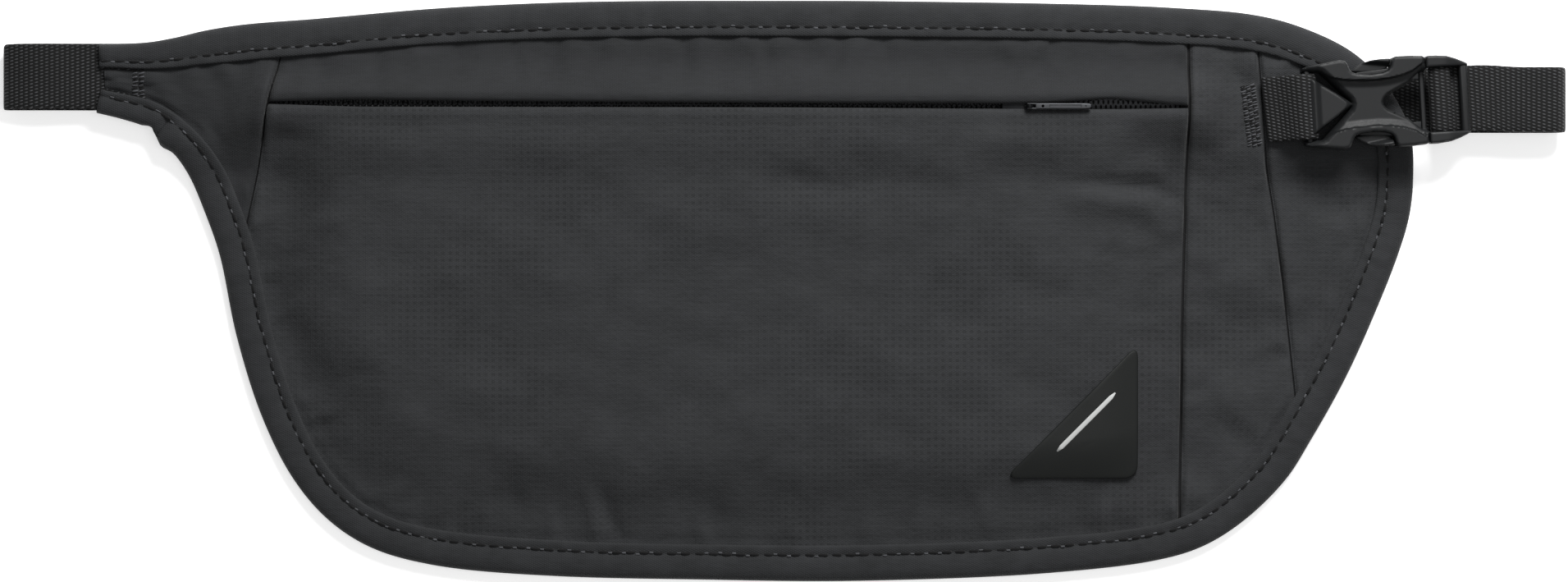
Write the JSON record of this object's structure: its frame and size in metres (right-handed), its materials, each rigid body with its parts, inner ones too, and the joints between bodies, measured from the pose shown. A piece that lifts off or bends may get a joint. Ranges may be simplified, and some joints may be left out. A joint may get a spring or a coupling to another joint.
{
  "type": "money belt",
  "caption": "Flat zipped waist pouch for travel documents, with bound edges, a mesh back, a folded webbing strap and a side-release buckle.",
  "frame": {"origin": "middle of the footprint, on the surface the pouch lies on", "axes": "+X towards the buckle along the waist, +Y towards the top edge, +Z out of the front face"},
  "size_m": [0.362, 0.1346, 0.0134],
  "materials": {
    "ripstop_fabric": "matt charcoal ripstop weave",
    "facing_fabric": "matt charcoal plain weave",
    "spacer_mesh": "matt black spacer mesh",
    "screening_foil": "metallised film",
    "lining_mesh": "knitted mesh lining",
    "binding_tape": "matt folded tape with stitching",
    "zip_tape": "woven tape",
    "zip_coil": "nylon coil",
    "webbing": "flat woven webbing with lighter threads",
    "buckle_acetal": "satin moulded plastic",
    "slider_metal": "black coated die casting",
    "pull_metal": "satin grey metal",
    "badge_rubber": "soft matt moulded patch",
    "thread": "sewing thread"
  },
  "bodies": {
    "pouch": {"back_mesh_panel": "spacer_mesh", "rfid_blocking_layer": "screening_foil", "pocket_lining": "lining_mesh", "zip_header_panel": "facing_fabric", "main_pocket_panel": "ripstop_fabric", "left_wing_panel": "facing_fabric", "right_inner_panel": "ripstop_fabric", "right_outer_panel": "ripstop_fabric", "edge_binding_top": "binding_tape", "edge_binding_buckle_side": "binding_tape", "edge_binding_bottom": "binding_tape", "edge_binding_strap_side": "binding_tape", "zip_coil_upper": "zip_coil", "zip_coil_lower": "zip_coil", "zip_tape_upper": "zip_tape", "zip_tape_lower": "zip_tape", "corner_badge": "badge_rubber", "strap_bartack": "thread", "tab_bartack": "thread", "waist_strap_sewn_length": "webbing", "buckle_tab": "webbing", "buckle_socket": "buckle_acetal"},
    "zip_slider": {"zip_slider": "slider_metal"},
    "zip_pull": {"zip_pull": "pull_metal"},
    "buckle_plug": {"buckle_plug": "buckle_acetal", "waist_strap_adjusting_length": "webbing"},
    "prong_upper": {"buckle_prong_upper": "buckle_acetal"},
    "prong_lower": {"buckle_prong_lower": "buckle_acetal"}
  },
  "joints": [
    {"name": "zip_slide", "type": "slide", "parent": "pouch", "child": "zip_slider", "axis": [1, -0.0047, 0], "range_m": [-0.147, 0.028], "deforming": ["zip_coil_upper", "zip_coil_lower"]},
    {"name": "pull_swing", "type": "hinge", "parent": "zip_slider", "child": "zip_pull", "pos_m": [0.0566, 0.04257, 0.0106], "axis": [0, -1, 0], "range_deg": [0, 175]},
    {"name": "plug_release", "type": "slide", "parent": "pouch", "child": "buckle_plug", "axis": [0.9983, 0.0576, 0], "range_m": [0, 0.026], "deforming": ["buckle_prong_upper", "buckle_prong_lower"]},
    {"name": "prong_upper_pinch", "type": "hinge", "parent": "buckle_plug", "child": "prong_upper", "pos_m": [0.14604, 0.04985, 0.01015], "axis": [0, 0, 1], "range_deg": [0, 8], "stiffness_Nm_per_rad": 0.8},
    {"name": "prong_lower_pinch", "type": "hinge", "parent": "buckle_plug", "child": "prong_lower", "pos_m": [0.14673, 0.03787, 0.01015], "axis": [0, 0, -1], "range_deg": [0, 8], "stiffness_Nm_per_rad": 0.8}
  ]
}
